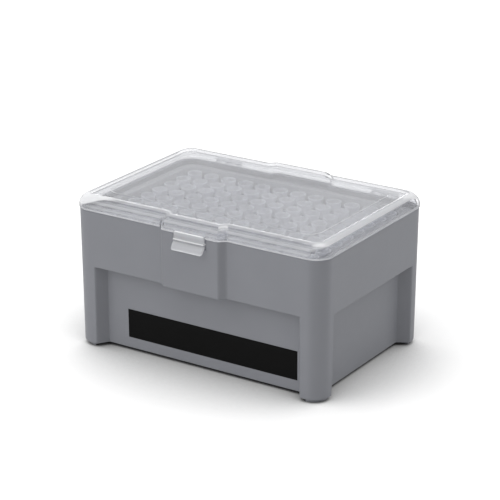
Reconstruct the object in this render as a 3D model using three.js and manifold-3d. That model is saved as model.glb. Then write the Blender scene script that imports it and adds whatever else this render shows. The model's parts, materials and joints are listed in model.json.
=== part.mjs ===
// A hinged box of 96 pipette tips: a grey moulded base with four corner posts and feet, a deck with
// a 12 by 8 grid of holes, the tips that hang in it, and a clear lid with a snap latch.
// Millimetres, +Z up, +X to the right along the long side, the latch and the printed panel at -Y.
import * as THREE from 'three';
import { mergeVertices } from 'three/addons/utils/BufferGeometryUtils.js';
import Module from 'manifold-3d';

const wasm = await Module();
wasm.setup();

// ---- Driving dimensions --------------------------------------------------------------------

// Tips, in a grid of columns along X and rows along Y
const COLUMNS = 12;
const ROWS = 8;
const PITCH = 9.0;
const TIP_LENGTH = 50.8;
const TIP_BODY_R = 2.5; // under the collar
const TIP_END_R = 0.45;
const BORE_TOP_R = 2.45;
const BORE_END_R = 0.25;
const COLLAR_HEIGHT = 3.7;
const COLLAR_SEAT = 0.2; // how far the collar laps the edge of its hole
const COLLAR_FLARE = 0.35; // how far the mouth is wider than the collar's foot
const TIP_SIDES = 6;
const WEB_RISE = 1.0; // web between the tips of a column, above the collars' feet
const WEB_HEIGHT = 0.8;
const WEB_THICK = 1.0;
const TIP_END_GAP = 4.55; // from the floor up to the tips' ends
const MOUTH_DROP = 2.7; // from the rim down to the tips' mouths

// The base, outside, at the rim
const END_MARGIN = 11.75; // from the outer tips' axes out to the end walls
const SIDE_MARGIN = 10.6; // and to the front and back walls
const CORNER_R = 7.8;
const DRAFT = 0.01; // the wall leans in by this much for each millimetre below the rim
const WALL = 2.0;
const FLOOR = 2.0;
const SKIRT_Z = 1.45; // underside of the floor and of the corner posts
const FOOT_R = 6.4; // quarter-round foot under each post

// Sunk panels between the corner posts, on all four sides
const RECESS_DROP = 24.7; // from the rim down to the panels' top edges
const RECESS_DEPTH = 5.0;
const RECESS_RUN = 3.2; // how far a panel's side wall runs along the wall while it goes in
const POST_X = 10.65; // post width seen on the long sides
const POST_Y = 9.9; // post width seen on the short sides

// Raised pads in the middle of the front and back, on the base and the lid. The base's are hollow
// only above the deck's flange.
const PAD_PROUD = 2.5;
const PAD_HALF = 13.7; // half width of the pad's flat face
const PAD_RUN = 2.5;

// Deck that carries the tips: a tray hung from a flange
const DECK_THICK = 2.0;
const FLANGE_DROP = 1.9; // from the rim down to the flange's top
const FLANGE_THICK = 1.4;
const TRAY_WALL = 1.2;
const TRAY_MARGIN = 0.65; // between the outer mouths and the tray's side
const TRAY_LEAN = 1.4;
const TRAY_CORNER_R = 4.0;
const SEAT_THICK = 1.6; // the base's ribs that the flange rests on
const SEATS_X = [-0.75, -0.4, 0.4, 0.75]; // their places, as shares of half a long wall
const SEATS_Y = [-0.35, 0.35]; // and of half a short wall

// Lid
const LID_GAP = 0.25; // between the rim and the lid's edge
const LID_LIP = 0.25; // how far the lid's edge stands out past the base
const LID_BAND = 1.25; // height of the lid's upright band
const LID_HEIGHT = 6.3; // from the rim to the top's edge
const LID_WALL = 1.3;
const SHOULDER_INSET = 5.3; // top's edge, measured in from the base's wall
const SHOULDER_POWER = 1.85; // 1 is a flat chamfer, 2 a quarter ellipse
const PANEL_RISE = 0.3; // raised stacking panel on the top
const PANEL_MARGIN_X = 9.85; // from the base's wall in to the panel's edge
const PANEL_MARGIN_Y = 10.0;
const PANEL_CORNER_R = 6.0;

// Hinges on the back
const HINGE_INSET = 21.25; // from the end wall in to the middle of a hinge
const HINGE_AXIS_OUT = 2.9; // axis behind the base's wall
const HINGE_AXIS_RISE = 0.15; // axis above the rim
const HINGE_EAR_PITCH = 5.6;
const HINGE_EAR = 1.2;
const HINGE_EAR_R = 1.1;
const HINGE_EAR_DROP = 4.0;
const HINGE_BAR_R = 0.55;
const HOOK_WALL = 0.45;
const HOOK_OPENING = 100; // degrees, facing down

// Latch on the front pad
const LATCH_WIDTH = 15.0;
const LATCH_THICK = 0.9;
const LATCH_AXIS_OUT = 0.33; // axis in front of the pad's face
const LATCH_AXIS_RISE = 0.9; // axis above the rim
const LATCH_BEAD_DROP = 3.1; // from the axis down to the hook and the bead
const LATCH_BEAD = 0.4; // how far the bead stands out from the tab
const LATCH_HOOK = 0.6; // how far the hook stands in from the tab
const LATCH_LENGTH = 7.2; // from the axis to the pull edge
const LATCH_FLARE = 2.1; // how far the pull edge stands out
const CATCH_DROP = 1.2; // catch in the base's pocket, below the rim
const CATCH_HALF = 0.4; // half height of the catch at its root
const POCKET_DEPTH = 1.3;
const POCKET_MARGIN = 0.7; // wider than the latch on each side
const POCKET_DROP = 4.3; // pocket's bottom below the rim

const CLEARANCE = 0.3; // between pieces that fit in, hang in or rest on each other
const OVERLAP = 0.5; // how far joined solids of one moulding run into each other
const ARC_STEPS = 6; // segments in a quarter turn of an outline
const ROUND_SIDES = 12;

// ---- Places worked out from the sizes ------------------------------------------------------

const lastColumnX = ((COLUMNS - 1) / 2) * PITCH;
const lastRowY = ((ROWS - 1) / 2) * PITCH;
const halfX = lastColumnX + END_MARGIN;
const halfY = lastRowY + SIDE_MARGIN;
const padY = halfY + PAD_PROUD; // face of a pad at the rim

const floorTop = SKIRT_Z + FLOOR;
const tipEnd = floorTop + TIP_END_GAP;
const tipTop = tipEnd + TIP_LENGTH;
const collarBottom = tipTop - COLLAR_HEIGHT;
const rimZ = tipTop + MOUTH_DROP;
const recessTop = rimZ - RECESS_DROP;
const shelfTop = recessTop + WALL;

const deckTop = collarBottom - CLEARANCE;
const deckBottom = deckTop - DECK_THICK;
const flangeTop = rimZ - FLANGE_DROP;
const flangeBottom = flangeTop - FLANGE_THICK;
const holeR = TIP_BODY_R + CLEARANCE;
const collarR = holeR + COLLAR_SEAT;
const mouthR = collarR + COLLAR_FLARE;
const trayX = lastColumnX + mouthR + TRAY_MARGIN; // inside of the tray, at the deck
const trayY = lastRowY + mouthR + TRAY_MARGIN;

const lidBottom = rimZ + LID_GAP;
const bandTop = lidBottom + LID_BAND;
const lidTop = rimZ + LID_HEIGHT;
const hingeX = halfX - HINGE_INSET;
const hingeY = halfY + HINGE_AXIS_OUT;
const hingeZ = rimZ + HINGE_AXIS_RISE;
const hookInnerR = HINGE_BAR_R + CLEARANCE;
const hookOuterR = hookInnerR + HOOK_WALL;
const latchY = -padY - LATCH_AXIS_OUT;
const latchZ = rimZ + LATCH_AXIS_RISE;
const hookTipY = latchY + LATCH_THICK / 2 + LATCH_HOOK;
const pocketY = -padY + POCKET_DEPTH;
const frontReach = -latchY + LATCH_THICK / 2 + LATCH_FLARE;
const backReach = hingeY + hookOuterR;

// ---- Colours -------------------------------------------------------------------------------

const basePlastic = { color: 0x85868a, roughness: 0.45, metalness: 0 };
const deckPlastic = { color: 0x9b9ca1, roughness: 0.5, metalness: 0 };
const tipPlastic = { color: 0xdcdde0, roughness: 0.3, metalness: 0, transparent: true, opacity: 0.7 };
const clearPlastic = { color: 0xf2f4f7, roughness: 0.05, metalness: 0, transparent: true, opacity: 0.3 };

// ---- Solid helpers -------------------------------------------------------------------------

function toSolid(geometry) {
  const bare = new THREE.BufferGeometry();
  bare.setAttribute('position', geometry.getAttribute('position').clone());
  if (geometry.index) bare.setIndex(geometry.index.clone());
  const merged = mergeVertices(bare, 1e-5);
  return new wasm.Manifold(new wasm.Mesh({
    numProp: 3,
    vertProperties: new Float32Array(merged.getAttribute('position').array),
    triVerts: new Uint32Array(merged.index.array),
  }));
}

function toGeometry(solid) {
  const { vertProperties, triVerts } = solid.getMesh();
  const geometry = new THREE.BufferGeometry();
  geometry.setAttribute('position', new THREE.BufferAttribute(vertProperties, 3));
  geometry.setIndex(new THREE.BufferAttribute(triVerts, 1));
  geometry.computeVertexNormals();
  return geometry;
}

function piece(name, geometry, material) {
  const mesh = new THREE.Mesh(geometry, new THREE.MeshStandardMaterial(material));
  mesh.name = name;
  return mesh;
}

function joined(solids) {
  return solids.reduce((whole, solid) => whole.add(solid));
}

// A closed skin over a stack of outlines, lowest first, each with as many points as the next.
function loft(levels) {
  const count = levels[0].outline.length;
  const positions = levels.flatMap(({ outline, z }) => outline.flatMap((p) => [p.x, p.y, z]));
  const indices = [];
  for (let level = 0; level + 1 < levels.length; level++) {
    for (let i = 0; i < count; i++) {
      const a = level * count + i;
      const b = level * count + ((i + 1) % count);
      indices.push(a, b, b + count, a, b + count, a + count);
    }
  }
  const last = (levels.length - 1) * count;
  for (const [a, b, c] of THREE.ShapeUtils.triangulateShape(levels[0].outline, [])) {
    indices.push(c, b, a);
  }
  for (const [a, b, c] of THREE.ShapeUtils.triangulateShape(levels.at(-1).outline, [])) {
    indices.push(last + a, last + b, last + c);
  }
  const geometry = new THREE.BufferGeometry();
  geometry.setAttribute('position', new THREE.Float32BufferAttribute(positions, 3));
  geometry.setIndex(indices);
  return toSolid(geometry);
}

function boxSolid(xRange, yRange, zRange) {
  const size = [xRange, yRange, zRange].map(([low, high]) => high - low);
  const middle = [xRange, yRange, zRange].map(([low, high]) => (high + low) / 2);
  return toSolid(new THREE.BoxGeometry(...size).translate(...middle));
}

// A side view in (y, z), pushed along X and centred on x.
function sideExtrusion(shape, width, x = 0) {
  const options = { depth: width, bevelEnabled: false, curveSegments: ARC_STEPS };
  const geometry = new THREE.ExtrudeGeometry(shape, options);
  const turned = new THREE.Matrix4().makeBasis(
    new THREE.Vector3(0, 1, 0),
    new THREE.Vector3(0, 0, 1),
    new THREE.Vector3(1, 0, 0),
  );
  return toSolid(geometry.applyMatrix4(turned).translate(x - width / 2, 0, 0));
}

// ---- Outlines ------------------------------------------------------------------------------

// What a wall carries along its length, as [place along the wall, distance out] steps. Each step
// moves along the wall with the inset, so that a wall's thickness stays the same all round.
const plainWalls = () => [];

function padWalls(isLongWall, inset) {
  if (!isLongWall) return [];
  const shift = inset * Math.tan(Math.atan2(PAD_PROUD, PAD_RUN) / 2);
  const face = PAD_HALF - shift;
  const foot = face + PAD_RUN;
  return [[-foot, 0], [-face, PAD_PROUD], [face, PAD_PROUD], [foot, 0]];
}

function recessedWalls(isLongWall, inset) {
  const shift = inset * Math.tan(Math.atan2(RECESS_DEPTH, RECESS_RUN) / 2);
  const mouth = (isLongWall ? halfX - POST_X : halfY - POST_Y) + shift;
  const back = mouth - RECESS_RUN;
  return [[-mouth, 0], [-back, -RECESS_DEPTH], [back, -RECESS_DEPTH], [mouth, 0]];
}

// The box's plan, moved in by inset all round.
function boxOutline(inset, wallSteps) {
  return roundedOutline(halfX - inset, halfY - inset, CORNER_R - inset, wallSteps, inset);
}

function roundedOutline(reachX, reachY, cornerR, wallSteps = plainWalls, inset = 0) {
  const points = [];
  for (let side = 0; side < 4; side++) {
    const isLongWall = side % 2 === 1;
    const reach = isLongWall ? reachY : reachX;
    const along = isLongWall ? reachX : reachY;
    const turn = (side * Math.PI) / 2;
    const turned = (out, s) => new THREE.Vector2(out, s).rotateAround(new THREE.Vector2(), turn);
    for (const [s, out] of wallSteps(isLongWall, inset)) points.push(turned(reach + out, s));
    for (let i = 0; i <= ARC_STEPS; i++) {
      const angle = (i / ARC_STEPS) * (Math.PI / 2);
      const out = reach - cornerR + cornerR * Math.cos(angle);
      points.push(turned(out, along - cornerR + cornerR * Math.sin(angle)));
    }
  }
  return points;
}

function drafted(z) {
  return DRAFT * (rimZ - z);
}

function wallLoft(zLow, zHigh, inset, wallSteps) {
  return loft([zLow, zHigh].map((z) => ({ z, outline: boxOutline(inset + drafted(z), wallSteps) })));
}

// ---- Base ----------------------------------------------------------------------------------

function footSolids() {
  const quarter = new THREE.Shape().moveTo(0, 0).lineTo(FOOT_R, 0).absarc(0, 0, FOOT_R, 0, Math.PI / 2);
  const options = { depth: SKIRT_Z + OVERLAP, bevelEnabled: false, curveSegments: ARC_STEPS / 2 };
  const centreX = halfX - drafted(0) - CORNER_R;
  const centreY = halfY - drafted(0) - CORNER_R;
  return [[1, 1], [-1, 1], [-1, -1], [1, -1]].map(([signX, signY], corner) => toSolid(
    new THREE.ExtrudeGeometry(quarter, options)
      .rotateZ((corner * Math.PI) / 2)
      .translate(signX * centreX, signY * centreY, 0),
  ));
}

// Upright ribs on the shelf over each sunk panel, which carry the deck's flange. They stand
// between the wall and the tray.
function seatRibs() {
  const zRange = [shelfTop - OVERLAP, flangeBottom - CLEARANCE];
  const fromTray = TRAY_WALL + TRAY_LEAN + CLEARANCE;
  const ribs = [];
  for (const sign of [-1, 1]) {
    const xRange = [sign * (trayX + fromTray), sign * (halfX - WALL + OVERLAP)].sort((a, b) => a - b);
    const yRange = [sign * (trayY + fromTray), sign * (halfY - WALL + OVERLAP)].sort((a, b) => a - b);
    for (const x of SEATS_X.map((share) => share * halfX)) {
      ribs.push(boxSolid([x - SEAT_THICK / 2, x + SEAT_THICK / 2], yRange, zRange));
    }
    for (const y of SEATS_Y.map((share) => share * halfY)) {
      ribs.push(boxSolid(xRange, [y - SEAT_THICK / 2, y + SEAT_THICK / 2], zRange));
    }
  }
  return ribs;
}

// Three ears and the bar between them, on each side of the back pad.
function hingeEars() {
  const solids = [];
  const earTop = rimZ - LID_GAP;
  const ear = new THREE.Shape()
    .moveTo(halfY - WALL / 2, earTop)
    .lineTo(halfY - WALL / 2, earTop - HINGE_EAR_DROP)
    .lineTo(halfY, earTop - HINGE_EAR_DROP)
    .lineTo(hingeY + HINGE_EAR_R * Math.SQRT1_2, hingeZ - HINGE_EAR_R * Math.SQRT1_2)
    .absarc(hingeY, hingeZ, HINGE_EAR_R, -Math.PI / 4, Math.PI)
    .lineTo(hingeY - HINGE_EAR_R, earTop);
  for (const side of [-hingeX, hingeX]) {
    for (const step of [-1, 0, 1]) solids.push(sideExtrusion(ear, HINGE_EAR, side + step * HINGE_EAR_PITCH));
    const bar = new THREE.CylinderGeometry(HINGE_BAR_R, HINGE_BAR_R, 2 * HINGE_EAR_PITCH, ROUND_SIDES);
    solids.push(toSolid(bar.rotateZ(Math.PI / 2).translate(side, hingeY, hingeZ)));
  }
  return solids;
}

function latchPocket() {
  const half = LATCH_WIDTH / 2 + POCKET_MARGIN;
  return boxSolid([-half, half], [-padY - 1, pocketY], [rimZ - POCKET_DROP, rimZ + 1]);
}

// A low ridge in the pocket, over the latch's hook.
function latchCatch() {
  const z = rimZ - CATCH_DROP;
  const ridge = new THREE.Shape()
    .moveTo(pocketY + OVERLAP, z - CATCH_HALF)
    .lineTo(pocketY + OVERLAP, z + CATCH_HALF)
    .lineTo(pocketY, z + CATCH_HALF)
    .lineTo(hookTipY + CLEARANCE, z)
    .lineTo(pocketY, z - CATCH_HALF);
  return sideExtrusion(ridge, LATCH_WIDTH);
}

function baseSolid() {
  const shell = wallLoft(SKIRT_Z, recessTop + OVERLAP, 0, recessedWalls)
    .add(wallLoft(recessTop, rimZ, 0, padWalls))
    .subtract(wallLoft(floorTop, shelfTop + OVERLAP, WALL, recessedWalls))
    .subtract(wallLoft(shelfTop, rimZ + 1, WALL, plainWalls))
    .subtract(wallLoft(flangeTop, rimZ + 1, WALL, padWalls))
    .subtract(latchPocket());
  return joined([shell, latchCatch(), ...footSolids(), ...seatRibs(), ...hingeEars()]);
}

// ---- Deck ----------------------------------------------------------------------------------

function columnX(column) {
  return column * PITCH - lastColumnX;
}

function rowY(row) {
  return row * PITCH - lastRowY;
}

// The tray's floor has a hole for each tip.
function deckSolid() {
  const trayOutline = (grow) => roundedOutline(trayX + grow, trayY + grow, TRAY_CORNER_R + grow);
  const flangeOutline = boxOutline(WALL + CLEARANCE + drafted(flangeBottom), plainWalls);
  const outside = loft([
    { z: deckBottom, outline: trayOutline(TRAY_WALL) },
    { z: flangeBottom + OVERLAP, outline: trayOutline(TRAY_WALL + TRAY_LEAN) },
  ]);
  const flange = loft([
    { z: flangeBottom, outline: flangeOutline },
    { z: flangeTop, outline: flangeOutline },
  ]);
  const inside = loft([
    { z: deckTop, outline: trayOutline(0) },
    { z: flangeTop + 1, outline: trayOutline(TRAY_LEAN) },
  ]);
  return outside.add(flange).subtract(inside).subtract(holeSolids());
}

// The holes in the deck, as one many-part cutter.
function holeSolids() {
  const depth = DECK_THICK + 2;
  const holes = [];
  for (let column = 0; column < COLUMNS; column++) {
    for (let row = 0; row < ROWS; row++) {
      const hole = new THREE.CylinderGeometry(holeR, holeR, depth, TIP_SIDES);
      hole.rotateY(Math.PI / TIP_SIDES).rotateX(Math.PI / 2);
      hole.translate(columnX(column), rowY(row), deckTop + 1 - depth / 2);
      holes.push(toSolid(hole));
    }
  }
  return joined(holes);
}

// ---- Tips ----------------------------------------------------------------------------------

function tipSolid() {
  const profile = [
    [BORE_TOP_R, tipTop],
    [BORE_END_R, tipEnd],
    [TIP_END_R, tipEnd],
    [TIP_BODY_R, collarBottom],
    [collarR, collarBottom],
    [mouthR, tipTop],
    [BORE_TOP_R, tipTop],
  ].map(([r, z]) => new THREE.Vector2(r, z));
  const turned = new THREE.LatheGeometry(profile, TIP_SIDES, Math.PI / TIP_SIDES);
  return toSolid(turned.rotateX(Math.PI / 2));
}

// One column of tips. The tips are loose in the real box: a thin web between the collars, above
// the deck, holds each column together as one solid.
function tipColumnSolid() {
  const tip = tipSolid();
  const flatR = collarR * Math.cos(Math.PI / TIP_SIDES) - CLEARANCE;
  const webX = [-WEB_THICK / 2, WEB_THICK / 2];
  const webZ = [collarBottom + WEB_RISE, collarBottom + WEB_RISE + WEB_HEIGHT];
  const solids = [];
  for (let row = 0; row < ROWS; row++) {
    solids.push(tip.translate([0, rowY(row), 0]));
    if (row > 0) solids.push(boxSolid(webX, [rowY(row - 1) + flatR, rowY(row) - flatR], webZ));
  }
  return joined(solids);
}

// ---- Lid -----------------------------------------------------------------------------------

// Levels of the lid's skin from its edge to its top: an upright band, then a rounded shoulder.
function lidLevels(zStart, zTop, lipInset, topInset) {
  const steps = 6;
  const levels = [{ z: zStart, inset: lipInset }];
  for (let i = 0; i <= steps; i++) {
    const share = 1 - Math.cos(((i / steps) * Math.PI) / 2);
    const rise = (1 - (1 - share) ** SHOULDER_POWER) ** (1 / SHOULDER_POWER);
    levels.push({ z: bandTop + (zTop - bandTop) * rise, inset: lipInset + (topInset - lipInset) * share });
  }
  return levels.map(({ z, inset }) => ({ z, outline: boxOutline(inset, padWalls) }));
}

function stackingPanel() {
  const outline = roundedOutline(halfX - PANEL_MARGIN_X, halfY - PANEL_MARGIN_Y, PANEL_CORNER_R);
  return loft([{ z: lidTop - OVERLAP, outline }, { z: lidTop + PANEL_RISE, outline }]);
}

// Hooks that reach back from the lid's edge and clip over the bars of the hinges.
function hingeHooks() {
  const lipY = halfY + LID_LIP;
  const open = THREE.MathUtils.degToRad(HOOK_OPENING / 2);
  const down = -Math.PI / 2;
  const ring = new THREE.Shape()
    .absarc(hingeY, hingeZ, hookOuterR, down + open, down - open + 2 * Math.PI)
    .absarc(hingeY, hingeZ, hookInnerR, down - open + 2 * Math.PI, down + open, true);
  const armLow = Math.max(lidBottom, hingeZ + hookInnerR);
  const armHigh = hingeZ + hookOuterR;
  const arm = new THREE.Shape()
    .moveTo(lipY - LID_WALL / 2, lidBottom)
    .lineTo(lipY + LID_WALL / 2, lidBottom)
    .lineTo(hingeY, armLow)
    .lineTo(hingeY, armHigh)
    .lineTo(lipY - LID_WALL / 2, armHigh);
  const width = HINGE_EAR_PITCH - HINGE_EAR - 2 * CLEARANCE;
  const solids = [];
  for (const side of [-hingeX, hingeX]) {
    for (const step of [-0.5, 0.5]) {
      const x = side + step * HINGE_EAR_PITCH;
      const core = new THREE.CylinderGeometry(hookInnerR, hookInnerR, width + 1, ROUND_SIDES * 2);
      const clearOfBar = toSolid(core.rotateZ(Math.PI / 2).translate(x, hingeY, hingeZ));
      solids.push(sideExtrusion(ring, width, x).add(sideExtrusion(arm, width, x).subtract(clearOfBar)));
    }
  }
  return solids;
}

function latchNotch() {
  const half = LATCH_WIDTH / 2 + CLEARANCE;
  const reach = LATCH_THICK / 2 + CLEARANCE;
  return boxSolid([-half, half], [latchY - 2, latchY + reach], [lidBottom - 2, latchZ + reach]);
}

function lidSolid() {
  const outside = loft(lidLevels(lidBottom, lidTop, -LID_LIP, SHOULDER_INSET));
  const inset = { lip: LID_WALL - LID_LIP, top: SHOULDER_INSET + LID_WALL / 2 };
  const inside = loft(lidLevels(lidBottom - 1, lidTop - LID_WALL, inset.lip, inset.top));
  const shell = outside.subtract(inside).subtract(latchNotch());
  return joined([shell, stackingPanel(), ...hingeHooks()]);
}

// ---- Latch ---------------------------------------------------------------------------------

// A tab hung from the lid's edge: a round root, an upright part with a bead outside and a hook
// inside, and a pull edge that flares out.
function latchSolid() {
  const half = LATCH_THICK / 2;
  const at = (out, drop) => [latchY - out, latchZ - drop];
  const side = new THREE.Shape()
    .moveTo(...at(half, 0))
    .lineTo(...at(half, LATCH_BEAD_DROP - 0.5))
    .lineTo(...at(half + LATCH_BEAD, LATCH_BEAD_DROP))
    .lineTo(...at(half, LATCH_BEAD_DROP + 0.8))
    .quadraticCurveTo(
      ...at(half + LATCH_FLARE * 0.7, LATCH_LENGTH * 0.72),
      ...at(half + LATCH_FLARE, LATCH_LENGTH),
    )
    .lineTo(...at(half + LATCH_FLARE - LATCH_THICK, LATCH_LENGTH))
    .quadraticCurveTo(...at(LATCH_FLARE * 0.4, LATCH_LENGTH * 0.8), ...at(-half, LATCH_BEAD_DROP + 1.3))
    .lineTo(...at(-half - LATCH_HOOK, LATCH_BEAD_DROP + 0.2))
    .lineTo(...at(-half, LATCH_BEAD_DROP - 0.9))
    .lineTo(...at(-half, 0))
    .absarc(latchY, latchZ, half, 0, Math.PI);
  return sideExtrusion(side, LATCH_WIDTH);
}

// ---- Assembly ------------------------------------------------------------------------------

const tipBox = new THREE.Group();
tipBox.name = 'tip_box';
tipBox.add(piece('base_box', toGeometry(baseSolid()), basePlastic));
tipBox.add(piece('tip_deck', toGeometry(deckSolid()), deckPlastic));

const columnGeometry = toGeometry(tipColumnSolid());
for (let column = 0; column < COLUMNS; column++) {
  const mesh = piece(`tips_column_${String(column + 1).padStart(2, '0')}`, columnGeometry, tipPlastic);
  mesh.position.x = columnX(column);
  tipBox.add(mesh);
}

tipBox.add(piece('lid', toGeometry(lidSolid()), clearPlastic));
tipBox.add(piece('latch', toGeometry(latchSolid()), clearPlastic));

// The origin is the bottom centre of the whole object, and the latch reaches out further at the
// front than the hinges do at the back.
tipBox.position.y = (frontReach - backReach) / 2;

export default tipBox;
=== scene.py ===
import json
import math

import bmesh
import bpy
import numpy as np
from mathutils import Matrix, Vector


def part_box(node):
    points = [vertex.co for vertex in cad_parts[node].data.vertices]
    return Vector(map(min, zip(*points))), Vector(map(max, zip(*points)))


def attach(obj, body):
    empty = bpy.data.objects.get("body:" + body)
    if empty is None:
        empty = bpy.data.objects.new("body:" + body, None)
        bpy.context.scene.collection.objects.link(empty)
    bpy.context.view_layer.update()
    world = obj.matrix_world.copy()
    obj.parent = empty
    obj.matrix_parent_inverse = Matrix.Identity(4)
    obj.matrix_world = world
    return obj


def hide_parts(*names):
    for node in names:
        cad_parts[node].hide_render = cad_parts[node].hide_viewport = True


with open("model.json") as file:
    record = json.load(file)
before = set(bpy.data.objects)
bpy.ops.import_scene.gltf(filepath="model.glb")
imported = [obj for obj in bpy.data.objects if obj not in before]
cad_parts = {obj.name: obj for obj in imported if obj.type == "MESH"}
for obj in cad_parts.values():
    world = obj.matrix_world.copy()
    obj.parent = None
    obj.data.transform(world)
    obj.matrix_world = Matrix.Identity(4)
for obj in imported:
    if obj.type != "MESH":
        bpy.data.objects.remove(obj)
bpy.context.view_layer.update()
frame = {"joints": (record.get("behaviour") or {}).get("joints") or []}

# A box of 96 pipette tips: a grey base with a printed band, a deck, the tips, and a clear lid with
# its latch. The shapes are in millimetres from the middle of the tip grid, with x to the right, y
# to the back and z up from the floor. place() turns them into the frame's metres.

MM = 0.001


def corners(node):
    """The low and the high corner of a CAD node's box, in millimetres of the frame."""
    low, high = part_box(node)
    return low / MM, high / MM


def joint_place(name):
    """A point on a joint's axis, in millimetres of the frame."""
    return Vector(next(joint["pos_m"] for joint in frame["joints"] if joint["name"] == name)) / MM


BASE_LOW, BASE_HIGH = corners("base_box")
DECK_LOW, DECK_HIGH = corners("tip_deck")
LID_HIGH = corners("lid")[1]
LATCH_LOW, LATCH_HIGH = corners("latch")
TIP_LOW, TIP_HIGH = corners("tips_column_01")
LID_AXIS = joint_place("lid_hinge")
LATCH_AXIS = joint_place("latch_hinge")

MIDDLE_Y = (DECK_LOW.y + DECK_HIGH.y) / 2
HINGE_Y = LID_AXIS.y - MIDDLE_Y
LATCH_Y = LATCH_AXIS.y - MIDDLE_Y

CORNER_STEPS = 16  # in a quarter turn of an outline
KNEE_STEPS = 8  # in the rounding at the foot or the top of a step in a wall
ROUND_SIDES = 28  # of a tip or a hole
CUT_PAST = 1.0  # how far a cutter stands out past what it cuts

# Base
PAD_PROUD = 2.5
PAD_HALF = 16.2  # half width of a pad where it leaves the wall
PAD_RUN = 2.5
PAD_EASE = 0.65  # rounding of the pad's side, measured along the wall
CORNER_R = 7.8
WALL = 2.0
DRAFT = 0.01
HALF_X = BASE_HIGH.x
HALF_Y = MIDDLE_Y - BASE_LOW.y - PAD_PROUD
FLANGE_DROP = 1.9  # from the rim down to the deck's flange
RIM = DECK_HIGH.z + FLANGE_DROP
RIM_EDGE = 0.35  # rounding of the rim, the panels' top edges and the feet
SKIRT = 1.45
SKIRT_EDGE = 0.5
FLOOR = 2.0
RECESS_TOP = RIM - 24.7
RECESS_DEPTH = 5.0
RECESS_RUN = 3.2
RECESS_FOOT_EASE = 0.45
RECESS_FACE_EASE = 0.2
POST_X = 10.65  # width of a corner post on the long sides
POST_Y = 9.9  # and on the short sides
FOOT_R = 6.4


# ---- Mesh helpers --------------------------------------------------------------------------


def place(points):
    """Millimetres from the middle of the tip grid, as metres in the frame."""
    return (np.asarray(points, float) + (0.0, MIDDLE_Y, 0.0)) * MM


def new_object(name, data):
    made = bpy.data.objects.new(name, data)
    bpy.context.scene.collection.objects.link(made)
    return made


def solid(name, points, faces, smooth=40):
    """A closed mesh, without the flat faces that levels with points in common leave. Edges sharper
    than smooth, in degrees, stay sharp."""
    mesh = bpy.data.meshes.new(name)
    mesh.from_pydata(place(points).tolist(), [], [list(map(int, f)) for f in faces])
    cleaned = bmesh.new()
    cleaned.from_mesh(mesh)
    bmesh.ops.remove_doubles(cleaned, verts=cleaned.verts, dist=1e-3 * MM)
    bmesh.ops.dissolve_degenerate(cleaned, edges=cleaned.edges, dist=1e-4 * MM)
    bmesh.ops.recalc_face_normals(cleaned, faces=cleaned.faces)
    cleaned.to_mesh(mesh)
    cleaned.free()
    finish_shading(mesh, smooth)
    return new_object(name, mesh)


def finish_shading(mesh, smooth):
    mesh.shade_smooth()
    mesh.set_sharp_from_angle(angle=math.radians(smooth))


def flatten_normals(piece):
    """Shades flat faces flat: each vertex takes its normal from the largest faces round it."""
    modifier = piece.modifiers.new("normals", "WEIGHTED_NORMAL")
    modifier.mode = "FACE_AREA"
    modifier.weight = 100
    modifier.keep_sharp = True


def boolean(target, cutter, operation, smooth=40):
    """Joins cutter to target, or cuts it away, and removes the cutter."""
    modifier = target.modifiers.new("boolean", "BOOLEAN")
    modifier.operation = operation
    modifier.solver = "EXACT"
    modifier.object = cutter
    bpy.context.view_layer.update()
    evaluated = target.evaluated_get(bpy.context.evaluated_depsgraph_get())
    result = bpy.data.meshes.new_from_object(evaluated)
    target.modifiers.clear()
    target.data = result
    result.name = target.name
    bpy.data.objects.remove(cutter)
    finish_shading(result, smooth)
    return target


def skin(first, second, count):
    """Faces between two outlines of count points, whose first points are first and second."""
    return [
        (first + i, first + (i + 1) % count, second + (i + 1) % count, second + i)
        for i in range(count)
    ]


def caps(first, last, count):
    """The faces that close a skin, over the outlines that start at first and at last."""
    return [tuple(range(first, first + count))[::-1], tuple(range(last, last + count))]


def loft(levels):
    """A closed skin over (z, outline) levels with as many points each: (points, faces)."""
    count = len(levels[0][1])
    points = np.concatenate([np.column_stack([line, np.full(count, z)]) for z, line in levels])
    last = (len(levels) - 1) * count
    faces = []
    for start in range(0, last, count):
        faces += skin(start, start + count, count)
    return points, faces + caps(0, last, count)


def extruded(name, outline, x_low, x_high, smooth=40):
    """A side view, as (y, z) points in order, pushed along x."""
    count = len(outline)
    points = [(x, y, z) for x in (x_low, x_high) for y, z in outline]
    faces = [(i, i + count, (i + 1) % count + count, (i + 1) % count) for i in range(count)]
    faces += [tuple(range(count)), tuple(range(count, 2 * count))[::-1]]
    return solid(name, points, faces, smooth)


def rings(x, y, profile):
    """Points round an upright line, one ring for each (radius, z) of the profile."""
    angles = [2 * math.pi * i / ROUND_SIDES for i in range(ROUND_SIDES)]
    return [(x + r * math.cos(a), y + r * math.sin(a), z) for r, z in profile for a in angles]


def arc(centre, radius, start, end, steps):
    """Points on an arc, angles in degrees."""
    angles = np.radians(np.linspace(start, end, steps + 1))
    return [(centre[0] + radius * math.cos(a), centre[1] + radius * math.sin(a)) for a in angles]


def curve(start, control, end, steps):
    """Points on a quadratic curve, without its start."""
    found = []
    for i in range(1, steps + 1):
        t = i / steps
        found.append(tuple(
            (1 - t) ** 2 * s + 2 * t * (1 - t) * c + t * t * e
            for s, c, e in zip(start, control, end)
        ))
    return found


# ---- Outlines ------------------------------------------------------------------------------


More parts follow.
